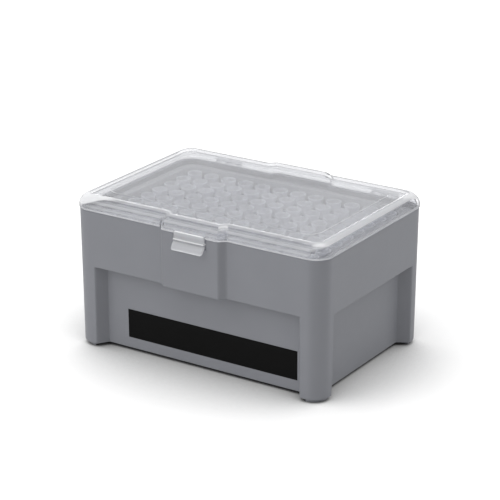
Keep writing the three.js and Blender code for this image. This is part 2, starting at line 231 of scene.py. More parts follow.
class Step:
    """A stretch in the middle of a wall that stands out of it, or is sunk into it."""

    def __init__(self, half, run, out, foot_ease, face_ease):
        self.half, self.run, self.out = half, run, out
        self.foot_ease, self.face_ease = foot_ease, face_ease
        self.shift = math.tan(math.atan2(out, run) / 2)

    def knees(self, inset):
        """Where its side starts and ends along the wall, moved so that the wall's thickness
        stays the same."""
        foot = self.half - inset * self.shift
        return foot, foot - self.run

    def places(self, inset):
        """Where along the wall the outline needs points."""
        spread = np.linspace(-1, 1, KNEE_STEPS + 1)
        foot, face = self.knees(inset)
        one_side = np.concatenate([face + self.face_ease * spread, foot + self.foot_ease * spread])
        return np.concatenate([-one_side, one_side])

    def outward(self, s, inset):
        """How far it stands out at the places s along the wall."""
        foot, face = self.knees(inset)
        rise = eased(foot - abs(s), self.foot_ease) - eased(face - abs(s), self.face_ease)
        return self.out * rise / self.run


def eased(t, ease):
    """max(t, 0), with its knee rounded from -ease to ease."""
    return np.where(t <= -ease, 0, np.where(t >= ease, t, (t + ease) ** 2 / (4 * ease)))


def recess(half):
    return Step(half, RECESS_RUN, -RECESS_DEPTH, RECESS_FOOT_EASE, RECESS_FACE_EASE)


PAD = Step(PAD_HALF, PAD_RUN, PAD_PROUD, PAD_EASE, PAD_EASE)
RECESS_LONG = recess(HALF_X - POST_X)
RECESS_SHORT = recess(HALF_Y - POST_Y)


def ring(reach_x, reach_y, corner, long_steps=(), short_steps=(), inset=0.0, shares=None,
         squeeze=1.0):
    """A rounded rectangle whose walls carry steps. shares says how much of each step shows, and
    squeeze draws the steps' places towards the middle of their wall."""
    shares = shares or {}
    line = []
    for side in range(4):
        is_long = side % 2 == 1
        reach, along = (reach_y, reach_x) if is_long else (reach_x, reach_y)
        steps = long_steps if is_long else short_steps
        if steps:
            s = np.sort(np.concatenate([step.places(inset) for step in steps])) * squeeze
            out = sum(step.outward(s, inset) * shares.get(step, 1.0) for step in steps)
            wall = np.column_stack([reach + out, s])
        else:
            wall = np.empty((0, 2))
        angles = np.radians(np.linspace(0, 90, CORNER_STEPS + 1))
        bend = np.column_stack([
            reach - corner + corner * np.cos(angles),
            along - corner + corner * np.sin(angles),
        ])
        turn = np.radians(90 * side)
        turned = np.array([[math.cos(turn), math.sin(turn)], [-math.sin(turn), math.cos(turn)]])
        line.append(np.concatenate([wall, bend]) @ turned)
    return np.concatenate(line)


SMALLEST_CORNER = 0.3


def box_ring(inset, long_steps, short_steps=(), shares=None):
    """The base's outline, moved in by inset."""
    return ring(
        HALF_X - inset, HALF_Y - inset, max(CORNER_R - inset, SMALLEST_CORNER),
        long_steps, short_steps, inset, shares,
    )


def rounded_edge(radius, steps=4):
    """(inset, drop) pairs round a convex edge, from the side wall to the flat."""
    angles = np.radians(np.linspace(0, 90, steps + 1))
    return [(radius * (1 - math.cos(a)), radius * (1 - math.sin(a))) for a in angles]


# ---- Base ----------------------------------------------------------------------------------

FOOT_STEPS = 12
FOOT_ROOT = 1.0  # how far a foot runs up into its post

HINGE_X = BASE_HIGH.x - 21.25
HINGE_PITCH = 5.6  # between the ears of a hinge
EAR_WIDTH = 1.2
EAR_R = 1.1
EAR_DROP = 4.0
EAR_TOP = RIM - 0.25
EAR_ROOT = 1.0  # how far an ear runs into the wall
BAR_R = 0.55
BAR_SIDES = 24

POCKET_MARGIN = 0.7  # wider than the latch on each side
POCKET_DEPTH = 1.3
POCKET_BOTTOM = RIM - 4.3
POCKET_R = 0.5


def base_levels():
    steps = ([PAD, RECESS_LONG], [RECESS_SHORT])

    def level(z, inset, pad, recess):
        shares = {PAD: pad, RECESS_LONG: recess, RECESS_SHORT: recess}
        return z, box_ring(inset + DRAFT * (RIM - z), *steps, shares)

    edge = rounded_edge(RIM_EDGE)
    shelf = RECESS_TOP + WALL
    levels = [level(SKIRT + drop, inset, 0, 1)
              for inset, drop in reversed(rounded_edge(SKIRT_EDGE))]
    levels += [level(RECESS_TOP, 0, 0, 1)]
    levels += [level(RECESS_TOP + drop, 0, 1, inset / RECESS_DEPTH)
               for inset, drop in reversed(edge)]
    levels += [level(RIM - drop, inset, 1, 0) for inset, drop in edge]
    levels += [level(RIM - drop, WALL - inset, 1, 0) for inset, drop in reversed(edge)]
    levels += [level(DECK_HIGH.z, WALL, 1, 0), level(DECK_HIGH.z, WALL, 0, 0)]
    levels += [level(shelf, WALL, 0, 0), level(shelf, WALL, 0, 1)]
    levels += [level(SKIRT + FLOOR, WALL, 0, 1)]
    return levels


def make_foot(sign_x, sign_y):
    """A short quarter-round foot under a corner post."""
    middle_x = HALF_X - DRAFT * RIM - CORNER_R
    middle_y = HALF_Y - DRAFT * RIM - CORNER_R
    levels = []
    for inset, z in [*reversed(rounded_edge(RIM_EDGE)), (0, SKIRT + FOOT_ROOT)]:
        quarter = arc((0, 0), FOOT_R - inset, 0, 90, FOOT_STEPS)
        line = [(inset, inset)] + [(max(x, inset), max(y, inset)) for x, y in quarter]
        line = np.array(line) * (sign_x, sign_y) + (sign_x * middle_x, sign_y * middle_y)
        levels.append((z, line))
    return solid("foot", *loft(levels))


def make_hinge_ear(x):
    inside = HALF_Y - EAR_ROOT
    line = [(inside, EAR_TOP), (inside, EAR_TOP - EAR_DROP), (HALF_Y, EAR_TOP - EAR_DROP)]
    line += arc((HINGE_Y, LID_AXIS.z), EAR_R, -45, 180, 18)
    line += [(HINGE_Y - EAR_R, EAR_TOP)]
    return extruded("ear", line, x - EAR_WIDTH / 2, x + EAR_WIDTH / 2)


def make_latch_pocket():
    """What is cut out of the front pad behind the latch."""
    half = LATCH_HIGH.x + POCKET_MARGIN
    outside = -HALF_Y - PAD_PROUD - CUT_PAST
    back = -HALF_Y - PAD_PROUD + POCKET_DEPTH
    line = [(outside, RIM + CUT_PAST), (back, RIM + CUT_PAST)]
    line += arc((back - POCKET_R, POCKET_BOTTOM + POCKET_R), POCKET_R, 0, -90, 6)
    line += [(outside, POCKET_BOTTOM)]
    return extruded("pocket", line, -half, half)


def make_base():
    base = solid("base", *loft(base_levels()), smooth=50)
    for sign_x in (-1, 1):
        for sign_y in (-1, 1):
            boolean(base, make_foot(sign_x, sign_y), "UNION")
    boolean(base, make_latch_pocket(), "DIFFERENCE")
    for side in (-HINGE_X, HINGE_X):
        for step in (-1, 0, 1):
            boolean(base, make_hinge_ear(side + step * HINGE_PITCH), "UNION")
        last_angle = 360 - 360 / BAR_SIDES
        bar = arc((HINGE_Y, LID_AXIS.z), BAR_R, 0, last_angle, BAR_SIDES - 1)
        boolean(base, extruded("bar", bar, side - HINGE_PITCH, side + HINGE_PITCH), "UNION")
    return base


# ---- Deck ----------------------------------------------------------------------------------

COLUMNS, ROWS, PITCH = 12, 8, 9.0
TIP_X = [(column - (COLUMNS - 1) / 2) * PITCH for column in range(COLUMNS)]
TIP_Y = [(row - (ROWS - 1) / 2) * PITCH for row in range(ROWS)]
MOUTH_R = 3.35
HOLE_R = 2.8
HOLE_EDGE = 0.2  # 45 degree edge of a hole, down from the deck's top
DECK_TOP = DECK_LOW.z + 2.0
FLANGE_BOTTOM = DECK_HIGH.z - 1.4
FLANGE_GAP = 0.3  # between the flange and the base's wall
TRAY_X = TIP_X[-1] + MOUTH_R + 0.65
TRAY_Y = TIP_Y[-1] + MOUTH_R + 0.65
TRAY_CORNER = 4.0
TRAY_WALL = 1.2
TRAY_LEAN = 1.4
TRAY_EDGE = 0.3  # outside, round the deck's underside
FLANGE_EDGE = 0.15  # under the flange
FLANGE_ROUND, FLANGE_ROUND_MIDDLE = 0.25, 0.07  # on the flange, with a point on the way
TRAY_FILLET, TRAY_FILLET_MIDDLE = 0.4, 0.12  # inside, at the foot of the tray's wall


def make_deck():
    low, high = DECK_LOW.z, DECK_HIGH.z

    def tray(z, grow):
        return z, ring(TRAY_X + grow, TRAY_Y + grow, TRAY_CORNER + grow)

    def flange(z, inset):
        gap = WALL + FLANGE_GAP + DRAFT * (RIM - FLANGE_BOTTOM) + inset
        return z, ring(HALF_X - gap, HALF_Y - gap, CORNER_R - gap)

    levels = [
        tray(low, TRAY_WALL - TRAY_EDGE),
        tray(low + TRAY_EDGE, TRAY_WALL),
        tray(FLANGE_BOTTOM, TRAY_WALL + TRAY_LEAN),
        flange(FLANGE_BOTTOM, FLANGE_EDGE),
        flange(FLANGE_BOTTOM + FLANGE_EDGE, 0),
        flange(high - FLANGE_ROUND, 0),
        flange(high - FLANGE_ROUND_MIDDLE, FLANGE_ROUND_MIDDLE),
        flange(high, FLANGE_ROUND),
        tray(high, TRAY_LEAN + FLANGE_ROUND),
        tray(high - FLANGE_ROUND, TRAY_LEAN),
        tray(DECK_TOP + TRAY_FILLET, 0.0),
        tray(DECK_TOP + TRAY_FILLET_MIDDLE, -TRAY_FILLET_MIDDLE),
        tray(DECK_TOP, -TRAY_FILLET),
    ]
    deck = solid("deck", *loft(levels), smooth=50)
    hole = [
        (HOLE_R, low - CUT_PAST),
        (HOLE_R, DECK_TOP - HOLE_EDGE),
        (HOLE_R + CUT_PAST, DECK_TOP - HOLE_EDGE + CUT_PAST),
    ]
    points, faces = [], []
    for x in TIP_X:
        for y in TIP_Y:
            bottom = len(points)
            edge, top = bottom + ROUND_SIDES, bottom + 2 * ROUND_SIDES
            points += rings(x, y, hole)
            faces += skin(bottom, edge, ROUND_SIDES) + skin(edge, top, ROUND_SIDES)
            faces += caps(bottom, top, ROUND_SIDES)
    return boolean(deck, solid("holes", points, faces), "DIFFERENCE")


# ---- Tips ----------------------------------------------------------------------------------

COLLAR_BOTTOM = DECK_TOP + 0.3
MOUTH = TIP_HIGH.z
TIP_END = TIP_LOW.z


def tip_profile():
    """(radius, z) from the bore's mouth, over the lip, down the outside and up the bore."""
    line = [(2.75, MOUTH - 1.0), (2.95, MOUTH - 0.12), (3.05, MOUTH), (3.2, MOUTH)]
    line += [(3.31, MOUTH - 0.05), (MOUTH_R, MOUTH - 0.18), (3.33, MOUTH - 0.4)]
    line += [(3.05, MOUTH - 1.5), (3.0, MOUTH - 1.8)]
    line += [(3.0, COLLAR_BOTTOM + 0.1), (2.93, COLLAR_BOTTOM)]
    line += [(2.55, COLLAR_BOTTOM), (2.5, COLLAR_BOTTOM - 0.1)]
    line += [(2.3, 45.0), (1.55, 30.0), (0.95, 17.0), (0.47, TIP_END + 0.1), (0.42, TIP_END)]
    line += [(0.27, TIP_END), (0.25, TIP_END + 0.1), (0.65, 17.0), (1.2, 30.0), (1.9, 45.0)]
    line += [(2.2, COLLAR_BOTTOM - 0.5), (2.35, COLLAR_BOTTOM + 0.8)]
    return line


def make_tip_column(number, x):
    profile = tip_profile()
    points, faces = [], []
    for y in TIP_Y:
        start = len(points)
        points += rings(x, y, profile)
        for level in range(len(profile)):
            low = start + level * ROUND_SIDES
            high = start + (level + 1) % len(profile) * ROUND_SIDES
            for i in range(ROUND_SIDES):
                j = (i + 1) % ROUND_SIDES
                faces.append((low + i, high + i, high + j, low + j))
    return solid(f"tips_{number:02d}", points, faces, smooth=60)


# ---- Lid -----------------------------------------------------------------------------------

LID_LIP = LID_HIGH.x - HALF_X
LID_BOTTOM = RIM + 0.25
BAND_TOP = LID_BOTTOM + 1.25
PANEL_RISE = 0.3
LID_TOP = LID_HIGH.z - PANEL_RISE
LID_WALL = 1.3
LID_EDGE = 0.2  # rounding of the lid's lower edge and of the panel
SHOULDER_INSET = 5.3
SHOULDER_POWER = 1.85
SHOULDER_STEPS = 20
PANEL_X = HALF_X - 9.85
PANEL_Y = HALF_Y - 10.0
PANEL_R = 6.0
PANEL_FOOT = 0.05  # how far the panel's foot stands out from its side

NOTCH_MARGIN = 0.3  # wider than the latch on each side
NOTCH_REACH = 0.75  # behind the latch's axis and above it
NOTCH_PAST = 2.0
HOOK_GAP = 0.3  # between a hook and the ears beside it
HOOK_INNER_R = 0.85
HOOK_OUTER_R = 1.29
HOOK_LIP = 0.65  # how far a hook's arm runs into the lid's edge
HOOK_ARM = 0.6  # how far it stands out past the edge, underneath


def shoulder(lip_inset, top_inset, top):
    """(inset, z) from the top of the band to the edge of the top."""
    found = []
    for i in range(SHOULDER_STEPS + 1):
        share = 1 - math.cos(i / SHOULDER_STEPS * math.pi / 2)
        rise = (1 - (1 - share) ** SHOULDER_POWER) ** (1 / SHOULDER_POWER)
        inset = lip_inset + (top_inset - lip_inset) * share
        found.append((inset, BAND_TOP + (top - BAND_TOP) * rise))
    return found


def make_lid():
    def level(z, inset):
        return z, box_ring(inset, [PAD])

    def panel(z, inset):
        straight = (PANEL_X - PANEL_R) / (HALF_X - CORNER_R)
        line = ring(PANEL_X - inset, PANEL_Y - inset, PANEL_R - inset, [PAD], shares={PAD: 0.0},
                    squeeze=straight)
        return z, line

    inside = shoulder(LID_WALL - LID_LIP, SHOULDER_INSET + LID_WALL / 2, LID_TOP - LID_WALL)
    outside = shoulder(-LID_LIP, SHOULDER_INSET, LID_TOP)
    edge = rounded_edge(LID_EDGE)
    levels = [level(z, inset) for inset, z in reversed(inside)]
    levels += [level(LID_BOTTOM + drop, LID_WALL - LID_LIP - inset) for inset, drop in edge]
    levels += [level(LID_BOTTOM + drop, inset - LID_LIP) for inset, drop in reversed(edge)]
    levels += [level(z, inset) for inset, z in outside]
    levels += [panel(LID_TOP, -PANEL_FOOT)]
    levels += [panel(LID_HIGH.z - drop, inset) for inset, drop in edge]
    lid = solid("lid_shell", *loft(levels), smooth=50)

    half = LATCH_HIGH.x + NOTCH_MARGIN
    front, back = LATCH_Y - NOTCH_PAST, LATCH_Y + NOTCH_REACH
    bottom, top = LID_BOTTOM - NOTCH_PAST, LATCH_AXIS.z + NOTCH_REACH
    notch = [(front, bottom), (back, bottom), (back, top), (front, top)]
    boolean(lid, extruded("notch", notch, -half, half), "DIFFERENCE", 50)

    width = HINGE_PITCH - EAR_WIDTH - 2 * HOOK_GAP
    for side in (-HINGE_X, HINGE_X):
        for step in (-0.5, 0.5):
            x = side + step * HINGE_PITCH
            boolean(lid, make_hook(x - width / 2, x + width / 2), "UNION", 50)
    return lid


def make_hook(x_low, x_high):
    """An arm from the lid's edge that ends in a ring, open below, round the hinge's bar."""
    centre = (HINGE_Y, LID_AXIS.z)
    lip = HALF_Y + LID_LIP
    line = arc(centre, HOOK_INNER_R, 200, -40, 24)
    line += arc(centre, HOOK_OUTER_R, -40, 90, 16)
    line += [(lip - HOOK_LIP, LID_AXIS.z + HOOK_OUTER_R), (lip - HOOK_LIP, LID_BOTTOM)]
    line += [(lip + HOOK_ARM, LID_BOTTOM)]
    line += arc(centre, HOOK_OUTER_R, 165, 200, 4)
    return extruded("hook", line, x_low, x_high)


# ---- Latch ---------------------------------------------------------------------------------

LATCH_THICK = 0.9
LATCH_FLARE = 2.1
LATCH_DROP = 7.2
LATCH_CORNER_R = 0.9  # seen from the front
LATCH_EDGE = 0.15
LATCH_EDGE_STEPS = 3


def latch_side():
    """The latch's side view, as (outward, drop) from its axis: down the outer face with its bead,
    round the pull edge, up the inner face with its hook, and round the root."""
    half = LATCH_THICK / 2
    pull = half + LATCH_FLARE
    heel = pull - LATCH_THICK
    outer = [(half, 0.0), (half, 2.45)]
    outer += curve(outer[-1], (half + 0.02, 2.85), (half + 0.32, 2.98), 4)
    outer += curve(outer[-1], (half + 0.44, 3.05), (half + 0.38, 3.25), 3)
    outer += curve(outer[-1], (half, 3.4), (half + 0.02, 3.9), 5)
    bend = (half + LATCH_FLARE * 0.7, LATCH_DROP * 0.72)
    outer += curve(outer[-1], bend, (pull - 0.05, LATCH_DROP - 0.15), 12)
    inner = [(pull - 0.1, LATCH_DROP), (heel + 0.1, LATCH_DROP), (heel, LATCH_DROP - 0.1)]
    inner += curve(inner[-1], (LATCH_FLARE * 0.4, LATCH_DROP * 0.8), (-half, 4.4), 12)
    inner += curve(inner[-1], (-half - 0.55, 3.75), (-half - 0.6, 3.3), 4)
    inner += curve(inner[-1], (-half - 0.5, 2.9), (-half, 2.2), 4)
    root = arc((0, 0), half, 180, 0, 12)
    return outer + inner + [(x, -y) for x, y in root[:-1]]


def outward_normals(outline):
    """A unit normal at each point of a closed outline, pointing out of it."""
    after, before = np.roll(outline, -1, 0), np.roll(outline, 1, 0)
    tangent = after - before
    normal = np.column_stack([tangent[:, 1], -tangent[:, 0]])
    normal /= np.linalg.norm(normal, axis=1)[:, None]
    area = 0.5 * np.sum(outline[:, 0] * after[:, 1] - after[:, 0] * outline[:, 1])
    return normal * math.copysign(1, area)


def latch_half_width(z):
    """Half the latch's width at a height: it is rounded at its four corners."""
    low, high = LATCH_AXIS.z - LATCH_DROP, LATCH_AXIS.z + LATCH_THICK / 2
    above = min(max(min(z - low, high - z) / LATCH_CORNER_R, 0), 1)
    return LATCH_HIGH.x - LATCH_CORNER_R + LATCH_CORNER_R * math.sqrt(1 - (1 - above) ** 2)


def make_latch():
    outline = np.array([(LATCH_Y - out, LATCH_AXIS.z - drop) for out, drop in latch_side()])
    normals = outward_normals(outline)
    edge = rounded_edge(LATCH_EDGE, LATCH_EDGE_STEPS)
    stations = [(-1, inset, drop) for inset, drop in reversed(edge)]
    stations += [(1, inset, drop) for inset, drop in edge]
    points = [
        (sign * (latch_half_width(z) - drop), y - out_y * inset, z - out_z * inset)
        for sign, inset, drop in stations
        for (y, z), (out_y, out_z) in zip(outline, normals)
    ]
    count = len(outline)
    last = (len(stations) - 1) * count
    faces = []
    for start in range(0, last, count):
        faces += skin(start, start + count, count)
    return solid("latch_tab", points, faces + caps(0, last, count), smooth=50)


# ---- Printed band --------------------------------------------------------------------------

BAND_X = (-37.35, 46.75)
BAND_Z = (6.35, 19.2)
PRINT_PROUD = 0.04  # how far the print stands out of the front panel, so that it shows
PRINT_SUNK = 0.02


def make_band():
    left, right = BAND_X
    levels = []
    for z in BAND_Z:
        panel = -(HALF_Y - RECESS_DEPTH - DRAFT * (RIM - z))
        back, face = panel + PRINT_SUNK, panel - PRINT_PROUD
        levels.append((z, np.array([(left, face), (right, face), (right, back), (left, back)])))
    return solid("front_band", *loft(levels), smooth=30)


# ---- Materials -----------------------------------------------------------------------------


def srgb(r, g, b):
    def linear(c):
        c /= 255
        return c / 12.92 if c <= 0.04045 else ((c + 0.055) / 1.055) ** 2.4
    return linear(r), linear(g), linear(b), 1.0


class Nodes:
    """The node tree of a material or a world, and short ways to add and join its nodes."""

    def __init__(self, owner, output="OutputMaterial"):
        owner.use_nodes = True
        self.owner = owner
        self.tree = owner.node_tree
        self.tree.nodes.clear()
        self.output = self.add(output)

    def add(self, kind, **values):
        """A node of a kind. Each value is a setting of the node, or goes to the input so named."""
        node = self.tree.nodes.new("ShaderNode" + kind)
        for key, value in values.items():
            if hasattr(node, key):
                setattr(node, key, value)
            else:
                node.inputs[key.replace("_", " ")].default_value = value
        return node

    def join(self, source, target):
        self.tree.links.new(source, target)

    def feed(self, value, target):
        """Sets an input to a number, or joins a node's output to it."""
        if isinstance(value, (int, float)):
            target.default_value = value
        else:
            self.join(value, target)

    def mapped(self, source, low, high, to_low, to_high, smooth=True):
        """source's range from low to high, as to_low to to_high, and level beyond."""
        node = self.add(
            "MapRange", interpolation_type="SMOOTHSTEP" if smooth else "LINEAR",
            From_Min=low, From_Max=high, To_Min=to_low, To_Max=to_high,
        )
        self.join(source, node.inputs["Value"])
        return node.outputs["Result"]

    def math(self, operation, first, second=0.0):
        node = self.add("Math", operation=operation)
        for socket, value in zip(node.inputs, (first, second)):
            self.feed(value, socket)
        return node.outputs["Value"]

    def mix(self, share, first, second):
        """first, with share of second over it."""
        node = self.add("MixShader")
        self.feed(share, node.inputs["Fac"])
        self.join(first, node.inputs[1])
        self.join(second, node.inputs[2])
        return node.outputs["Shader"]


PLASTIC_IOR = 1.49
SPARK_PER_MM = 0.6
SPARK_RELIEF = 0.05
SPARK_HEIGHT = 0.0002  # in metres
FLOW_PER_MM = 0.05
FLOW_SHADE = 0.05  # how much the flow changes the colour, either way
GLOSS_SPREAD = 0.06  # of the roughness, either way


def moulded(name, colour, roughness, specular=0.4, bend=1.0):
    """Satin moulded plastic: a fine spark texture, faint flow variation in colour and gloss. bend
    is how much of its colour is left where an upright wall turns a corner, a painted shade that
    darkens the corners."""
    n = Nodes(bpy.data.materials.new(name))
    shader = n.add("BsdfPrincipled", Specular_IOR_Level=specular, IOR=PLASTIC_IOR)
    where = n.add("TexCoord")
    fine = n.add("TexNoise", Scale=SPARK_PER_MM / MM, Detail=3.0, Roughness=0.6)
    broad = n.add("TexNoise", Scale=FLOW_PER_MM / MM, Detail=2.0, Roughness=0.5)
    for noise in (fine, broad):
        n.join(where.outputs["Object"], noise.inputs["Vector"])
    shade = n.mapped(broad.outputs["Fac"], 0.0, 1.0, 1 - FLOW_SHADE, 1 + FLOW_SHADE, smooth=False)
    facing = n.add("SeparateXYZ")
    n.join(where.outputs["Normal"], facing.inputs[0])
    # Painted shade: where an upright wall turns a corner, its colour is darkened to bend of it.
    turned = n.math("ABSOLUTE", n.math("MULTIPLY", facing.outputs["X"], facing.outputs["Y"]))
    shade = n.math("MULTIPLY", shade, n.mapped(turned, 0.05, 0.45, 1.0, bend))
    tint = n.add("MixRGB", blend_type="MULTIPLY", Fac=1.0, Color1=colour)
    n.join(shade, tint.inputs["Color2"])
    n.join(tint.outputs["Color"], shader.inputs["Base Color"])
    gloss = n.mapped(fine.outputs["Fac"], 0.0, 1.0, roughness - GLOSS_SPREAD,
                     roughness + GLOSS_SPREAD, smooth=False)
    n.join(gloss, shader.inputs["Roughness"])
    relief = n.add("Bump", Strength=SPARK_RELIEF, Distance=SPARK_HEIGHT)
    n.join(fine.outputs["Fac"], relief.inputs["Height"])
    n.join(relief.outputs["Normal"], shader.inputs["Normal"])
    n.join(shader.outputs["BSDF"], n.output.inputs["Surface"])
    return n.owner


MIRROR_LEAST, MIRROR_GAIN, MIRROR_POWER, MIRROR_MOST = 0.04, 0.9, 5.0, 0.13
FILM_ROUGHNESS = 0.08
FILM_COLOUR = (0.97, 0.97, 0.98, 1)
SEEN_THROUGH = (0.975, 0.977, 0.985, 1)
SEEN_EDGE_ON = (0.05, 0.055, 0.065, 1)
# SEEN_THROUGH_RIM darkens what is seen through, where the rim bands paint dark lines of shade.
SEEN_THROUGH_RIM = (0.5, 0.505, 0.52, 1)
# also the colour of the painted highlights
VEIL_COLOUR = (0.95, 0.955, 0.968, 1)
FLOW_LINES = (25, 25, 600)  # noise cells in a metre along x, y and z
BAND_EASE = 0.22  # how far a band of the veil fades, up and down
EDGE_EASE = 0.08
CORNER_VEIL = 0.5
PASSED_ON = 0.7  # share of the veil's light that comes from its far side
# the same share for the painted highlights
SHINE_PASSED_ON = 0.25
GLINT_LOW = 1.2  # how far down a glint reaches at its corner, from the lid's bottom

# Between the two levels a surface counts as less and less upright, or more and more flat. Level is
# 0 on an upright wall and 1 on a flat face.
TURNING_FLAT = (0.97, 0.995)
NEARLY_FLAT = (0.95, 0.99)


class Where:
    """Where a point of the surface is on the piece, and which way it faces, as nodes."""

    def __init__(self, n):
        self.n = n
        self.coordinates = n.add("TexCoord")
        place = n.add("SeparateXYZ")
        n.join(self.coordinates.outputs["Object"], place.inputs[0])
        normal = n.add("SeparateXYZ")
        n.join(self.coordinates.outputs["Normal"], normal.inputs[0])
        self.height = place.outputs["Z"]
        self.level = n.math("ABSOLUTE", normal.outputs["Z"])
        self.turn = n.math("MULTIPLY", normal.outputs["X"], normal.outputs["Y"])
        self.turned = n.math("ABSOLUTE", self.turn)
        share_x = n.math("DIVIDE", place.outputs["X"], HALF_X * MM)
        from_middle = n.math("SUBTRACT", place.outputs["Y"], MIDDLE_Y * MM)
        share_y = n.math("DIVIDE", from_middle, HALF_Y * MM)
        ahead = n.math("SUBTRACT", n.math("ABSOLUTE", share_x), n.math("ABSOLUTE", share_y))
        self.end_wall = n.mapped(ahead, -0.05, 0.05, 0.0, 1.0)
        self.diagonal = n.math("MULTIPLY", share_x, share_y)  # 1 or -1 at the corners

    def band(self, low, high, ease, on_long, on_end):
        """Between two heights, in millimetres: on_long on the long walls, on_end on the others."""
        rise = self.n.mapped(self.height, (low - ease) * MM, (low + ease) * MM, 0.0, 1.0)
        fall = self.n.mapped(self.height, (high - ease) * MM, (high + ease) * MM, 1.0, 0.0)
        strength = self.n.mapped(self.end_wall, 0.0, 1.0, on_long, on_end, smooth=False)
        return self.n.math("MULTIPLY", self.n.math("MULTIPLY", rise, fall), strength)

    def with_bands(self, value, rows, ease):
        """value, with the band of each row added to it."""
        for low, high, on_long, on_end in rows:
            value = self.n.math("ADD", value, self.band(low, high, ease, on_long, on_end))
        return value


def clear_plastic(name, veil, flat_veil, wall, streak, painted_bands, edges, rim=(), crease_highlight=(0.0, 0.0),
                  cap_highlight=0.0, glint=0.0):
    """Clear moulded plastic in a thin wall: what is behind it, a mirror film that grows towards
    grazing angles, and a pale veil that lets light through. veil is its strength everywhere but on
    flat faces, where flat_veil is. Upright walls spread the light sideways and have wall more of
    it, streak up or down in the flow lines along them, and less where they turn a corner. Each of
    bands, edges and rim is (lowest z, highest z, strength on the long walls, strength on the end
    walls), in millimetres: bands change the veil, for painted light and dark lines in the walls,
    edges are painted highlights where the surface is whitened, and rim paints dark lines of shade
    over what is seen through it. crease is how strongly a painted highlight whitens the turn from
    the walls into the top, on the long and on the end walls, cap the same for a painted highlight
    on the shoulders of two opposite corners, and glint the strength of a painted glint that reaches
    down the other two corners."""
    n = Nodes(bpy.data.materials.new(name))
    where = Where(n)
    facing = n.add("LayerWeight", Blend=0.5).outputs["Facing"]
    mirror = n.math("MULTIPLY", n.math("POWER", facing, MIRROR_POWER), MIRROR_GAIN)
    mirror = n.math("MINIMUM", n.math("ADD", mirror, MIRROR_LEAST), MIRROR_MOST)
    mirror = n.math("MULTIPLY", mirror, n.mapped(facing, 0.9, 1.0, 1.0, 0.3))

    rounded = n.mapped(where.level, 0.9, 0.97, 1.0, 0.0)
    edge_on = n.math("MULTIPLY", n.mapped(facing, 0.6, 0.88, 0.0, 1.0), rounded)
    edge_on = n.math("MAXIMUM", edge_on, n.mapped(facing, 0.78, 1.0, 0.0, 1.0))
    tint = n.add("MixRGB", Color1=SEEN_THROUGH, Color2=SEEN_EDGE_ON)
    n.join(edge_on, tint.inputs["Fac"])
    # Painted shade: the rim bands darken what is seen through the wall at their heights.
    passed = n.add("MixRGB", blend_type="MULTIPLY", Color2=SEEN_THROUGH_RIM)
    n.feed(where.with_bands(0.0, rim, BAND_EASE), passed.inputs["Fac"])
    n.join(tint.outputs["Color"], passed.inputs["Color1"])
    through = n.add("BsdfTransparent")
    n.join(passed.outputs["Color"], through.inputs["Color"])

    stretched = n.add("Mapping", Scale=FLOW_LINES)
    n.join(where.coordinates.outputs["Object"], stretched.inputs["Vector"])
    flow = n.add("TexNoise", Scale=1.0, Detail=1.0, Roughness=0.4)
    n.join(stretched.outputs["Vector"], flow.inputs["Vector"])
    lines = n.mapped(flow.outputs["Fac"], 0.35, 0.65, wall - streak, wall + streak)
    upright = n.mapped(where.level, 0.75, 0.97, 1.0, 0.0)
    milk = n.math("ADD", n.math("MULTIPLY", upright, lines), veil)
    # Painted light and dark lines: the bands make the veil paler or darker at their heights.
    milk = where.with_bands(milk, painted_bands, BAND_EASE)
    milk = n.math("MULTIPLY", milk, n.mapped(where.level, *TURNING_FLAT, 1.0, 0.0))
    milk = n.math("ADD", milk, n.mapped(where.level, *TURNING_FLAT, 0.0, flat_veil))
    milk = n.math("MULTIPLY", milk, n.mapped(where.turned, 0.03, 0.3, 1.0, CORNER_VEIL))
    milk = n.math("MULTIPLY", milk, n.mapped(facing, 0.8, 1.0, 1.0, 0.2))
    milk = n.math("MAXIMUM", n.math("MINIMUM", milk, 1.0), 0.0)

    # Painted highlights: the turn into the top and the edges' bands are whitened, as shine.
    at_top = n.mapped(where.height, (LID_TOP - 0.5) * MM, (LID_TOP - 0.3) * MM, 0.0, 1.0)
    into_top = n.mapped(where.level, 0.95, 0.975, 0.0, 1.0)
    into_top = n.math("MULTIPLY", into_top, n.mapped(where.level, 0.99, 0.998, 1.0, 0.0))
    strength = n.mapped(where.end_wall, 0.0, 1.0, *crease_highlight, smooth=False)
    shine = n.math("MULTIPLY", n.math("MULTIPLY", into_top, at_top), strength)
    shine = where.with_bands(shine, edges, EDGE_EASE)
    sloping = n.mapped(where.level, *NEARLY_FLAT, 1.0, 0.0)
    # Painted highlight on the sloping shoulders of two opposite corners.
    if cap_highlight:
        sloped = n.math("MULTIPLY", n.mapped(where.level, 0.76, 0.9, 0.0, cap_highlight), sloping)
        at_corner = n.mapped(where.turn, -0.1, -0.02, 1.0, 0.0)
        shine = n.math("ADD", shine, n.math("MULTIPLY", sloped, at_corner))
    # Painted glint: a whitened wedge that reaches down the shoulders of the other two corners.
    if glint:
        near = n.mapped(where.diagonal, 0.6, 0.97, 0.0, 1.0, smooth=False)
        deepest = (LID_TOP - LID_BOTTOM - GLINT_LOW) * MM
        reach = n.math("MULTIPLY", n.math("POWER", near, 2.0), deepest)
        above = n.math("SUBTRACT", n.math("ADD", where.height, reach), (LID_TOP - 0.6) * MM)
        lit = n.math("MULTIPLY", n.mapped(above, 0.0, 0.4 * MM, 0.0, glint), sloping)
        shine = n.math("ADD", shine, n.math("MULTIPLY", lit, n.mapped(near, 0.0, 0.25, 0.0, 1.0)))
    shine = n.math("MULTIPLY", shine, n.mapped(facing, 0.75, 0.95, 1.0, 0.0))
    shine = n.math("MINIMUM", shine, 1.0)

